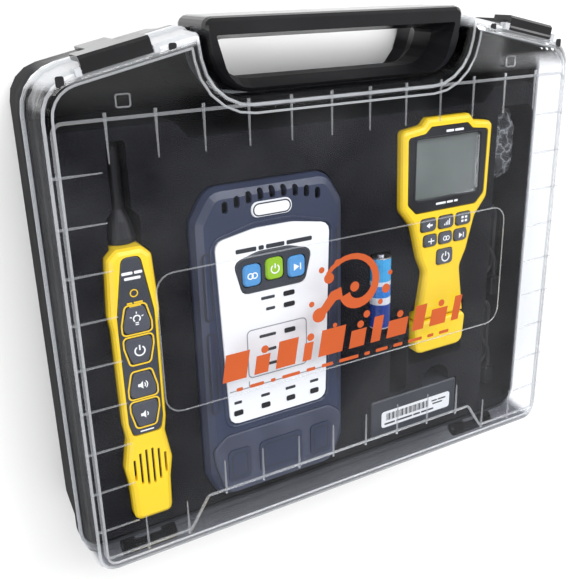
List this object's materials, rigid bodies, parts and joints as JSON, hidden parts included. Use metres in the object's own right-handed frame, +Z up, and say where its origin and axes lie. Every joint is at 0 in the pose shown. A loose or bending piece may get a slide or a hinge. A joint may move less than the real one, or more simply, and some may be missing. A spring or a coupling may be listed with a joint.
{
  "type": "tone probe kit in a carry case",
  "caption": "Carry case with a clear hinged lid, two latches and a handle, holding a tone probe, a network tester and a cable tester in a foam tray.",
  "frame": {"origin": "middle of the footprint on the flat back that the case lies on", "axes": "+X across the case to its right as seen from the clear lid, +Y from the lid's hinge to the carrying handle, +Z up out of the back through the clear lid"},
  "size_m": [0.34, 0.315, 0.0814],
  "materials": {
    "case_black": "moulded, satin gloss",
    "black_plastic": "fine textured",
    "clear_lid": "clear, polished",
    "pin_steel": "drawn",
    "tray_foam": "open-cell foam",
    "yellow_plastic": "fine textured",
    "slate_panel": "satin",
    "slate_blue_plastic": "satin",
    "key_rubber": "matt",
    "white_plastic": "satin",
    "blue_key": "satin",
    "green_key": "satin",
    "screen_glass": "polished",
    "lcd_grey": "satin",
    "circuit_board": "lacquered",
    "cell_sleeve": "printed film",
    "lead_black": "satin",
    "bag_film": "crumpled film"
  },
  "bodies": {
    "case": {"case_base": "case_black", "foam_tray": "tray_foam", "hinge_pin_left": "pin_steel", "hinge_pin_right": "pin_steel", "lead_hank_upper": "lead_black", "lead_plug_upper": "black_plastic", "lead_clip_upper": "black_plastic", "lead_hank_lower": "lead_black", "lead_plug_lower": "black_plastic", "lead_clip_lower": "black_plastic", "adapter_bag": "bag_film"},
    "lid": {"lid": "clear_lid", "latch_pin_left": "pin_steel", "latch_pin_right": "pin_steel"},
    "latch_left": {"latch_left": "case_black"},
    "latch_right": {"latch_right": "case_black"},
    "probe": {"probe_front_shell": "yellow_plastic", "probe_rear_shell": "black_plastic", "probe_key_panel": "slate_panel", "probe_circuit_board": "circuit_board", "probe_speaker": "black_plastic", "probe_battery": "cell_sleeve", "probe_battery_door": "black_plastic", "probe_tip": "black_plastic"},
    "tester": {"tester_front_shell": "slate_blue_plastic", "tester_rear_shell": "slate_blue_plastic", "tester_face_plate": "white_plastic", "tester_key_bezel": "slate_panel", "tester_badge": "white_plastic", "tester_lower_bumper": "key_rubber", "tester_circuit_board": "circuit_board", "tester_battery_pack": "black_plastic"},
    "cable_tester": {"cable_front_shell": "yellow_plastic", "cable_rear_shell": "black_plastic", "cable_bezel": "black_plastic", "cable_screen_window": "screen_glass", "cable_display": "lcd_grey", "cable_circuit_board": "circuit_board", "cable_battery": "cell_sleeve"},
    "cable_remote": {"cable_remote": "yellow_plastic"},
    "spare_cell": {"spare_cell": "cell_sleeve"},
    "adapter_box": {"adapter_box": "slate_panel", "adapter_label": "white_plastic"},
    "probe_key_light": {"probe_key_light": "key_rubber"},
    "probe_key_power": {"probe_key_power": "key_rubber"},
    "probe_key_volume_up": {"probe_key_volume_up": "key_rubber"},
    "probe_key_volume_down": {"probe_key_volume_down": "key_rubber"},
    "tester_key_left": {"tester_key_left": "blue_key"},
    "tester_key_power": {"tester_key_power": "green_key"},
    "tester_key_right": {"tester_key_right": "blue_key"},
    "cable_key_1": {"cable_key_1": "key_rubber"},
    "cable_key_2": {"cable_key_2": "key_rubber"},
    "cable_key_3": {"cable_key_3": "key_rubber"},
    "cable_key_4": {"cable_key_4": "key_rubber"},
    "cable_key_5": {"cable_key_5": "key_rubber"},
    "cable_key_6": {"cable_key_6": "key_rubber"},
    "cable_key_power": {"cable_key_power": "key_rubber"}
  },
  "joints": [
    {"name": "lid_hinge", "type": "hinge", "parent": "case", "child": "lid", "pos_m": [0, -0.1495, 0.05], "axis": [1, 0, 0], "range_deg": [0, 115]},
    {"name": "latch_left_hinge", "type": "hinge", "parent": "lid", "child": "latch_left", "pos_m": [-0.12877, 0.14063, 0.0797], "axis": [0.9765, 0.2157, 0], "range_deg": [0, 100]},
    {"name": "latch_right_hinge", "type": "hinge", "parent": "lid", "child": "latch_right", "pos_m": [0.12877, 0.14063, 0.0797], "axis": [0.9765, -0.2157, 0], "range_deg": [0, 100]},
    {"name": "probe_lift", "type": "slide", "parent": "case", "child": "probe", "axis": [0, 0, 1], "range_m": [0, 0.012]},
    {"name": "tester_lift", "type": "slide", "parent": "case", "child": "tester", "axis": [0, 0, 1], "range_m": [0, 0.01]},
    {"name": "cable_tester_lift", "type": "slide", "parent": "case", "child": "cable_tester", "axis": [0, 0, 1], "range_m": [0, 0.012]},
    {"name": "cable_remote_slide", "type": "slide", "parent": "cable_tester", "child": "cable_remote", "axis": [0, -1, 0], "range_m": [0, 0.006]},
    {"name": "spare_cell_lift", "type": "slide", "parent": "case", "child": "spare_cell", "axis": [0, 0, 1], "range_m": [0, 0.012]},
    {"name": "adapter_box_lift", "type": "slide", "parent": "case", "child": "adapter_box", "axis": [0, 0, 1], "range_m": [0, 0.015]},
    {"name": "probe_key_light_press", "type": "slide", "parent": "probe", "child": "probe_key_light", "axis": [0, 0, -1], "range_m": [0, 0.0008], "stiffness_N_per_m": 300, "springref_m": -0.0005},
    {"name": "probe_key_power_press", "type": "slide", "parent": "probe", "child": "probe_key_power", "axis": [0, 0, -1], "range_m": [0, 0.0008], "stiffness_N_per_m": 300, "springref_m": -0.0005},
    {"name": "probe_key_volume_up_press", "type": "slide", "parent": "probe", "child": "probe_key_volume_up", "axis": [0, 0, -1], "range_m": [0, 0.0008], "stiffness_N_per_m": 300, "springref_m": -0.0005},
    {"name": "probe_key_volume_down_press", "type": "slide", "parent": "probe", "child": "probe_key_volume_down", "axis": [0, 0, -1], "range_m": [0, 0.0008], "stiffness_N_per_m": 300, "springref_m": -0.0005},
    {"name": "tester_key_left_press", "type": "slide", "parent": "tester", "child": "tester_key_left", "axis": [0, 0, -1], "range_m": [0, 0.0008], "stiffness_N_per_m": 300, "springref_m": -0.0005},
    {"name": "tester_key_power_press", "type": "slide", "parent": "tester", "child": "tester_key_power", "axis": [0, 0, -1], "range_m": [0, 0.0008], "stiffness_N_per_m": 300, "springref_m": -0.0005},
    {"name": "tester_key_right_press", "type": "slide", "parent": "tester", "child": "tester_key_right", "axis": [0, 0, -1], "range_m": [0, 0.0008], "stiffness_N_per_m": 300, "springref_m": -0.0005},
    {"name": "cable_key_1_press", "type": "slide", "parent": "cable_tester", "child": "cable_key_1", "axis": [0, 0, -1], "range_m": [0, 0.0008], "stiffness_N_per_m": 300, "springref_m": -0.0005},
    {"name": "cable_key_2_press", "type": "slide", "parent": "cable_tester", "child": "cable_key_2", "axis": [0, 0, -1], "range_m": [0, 0.0008], "stiffness_N_per_m": 300, "springref_m": -0.0005},
    {"name": "cable_key_3_press", "type": "slide", "parent": "cable_tester", "child": "cable_key_3", "axis": [0, 0, -1], "range_m": [0, 0.0008], "stiffness_N_per_m": 300, "springref_m": -0.0005},
    {"name": "cable_key_4_press", "type": "slide", "parent": "cable_tester", "child": "cable_key_4", "axis": [0, 0, -1], "range_m": [0, 0.0008], "stiffness_N_per_m": 300, "springref_m": -0.0005},
    {"name": "cable_key_5_press", "type": "slide", "parent": "cable_tester", "child": "cable_key_5", "axis": [0, 0, -1], "range_m": [0, 0.0008], "stiffness_N_per_m": 300, "springref_m": -0.0005},
    {"name": "cable_key_6_press", "type": "slide", "parent": "cable_tester", "child": "cable_key_6", "axis": [0, 0, -1], "range_m": [0, 0.0008], "stiffness_N_per_m": 300, "springref_m": -0.0005},
    {"name": "cable_key_power_press", "type": "slide", "parent": "cable_tester", "child": "cable_key_power", "axis": [0, 0, -1], "range_m": [0, 0.0008], "stiffness_N_per_m": 300, "springref_m": -0.0005}
  ]
}
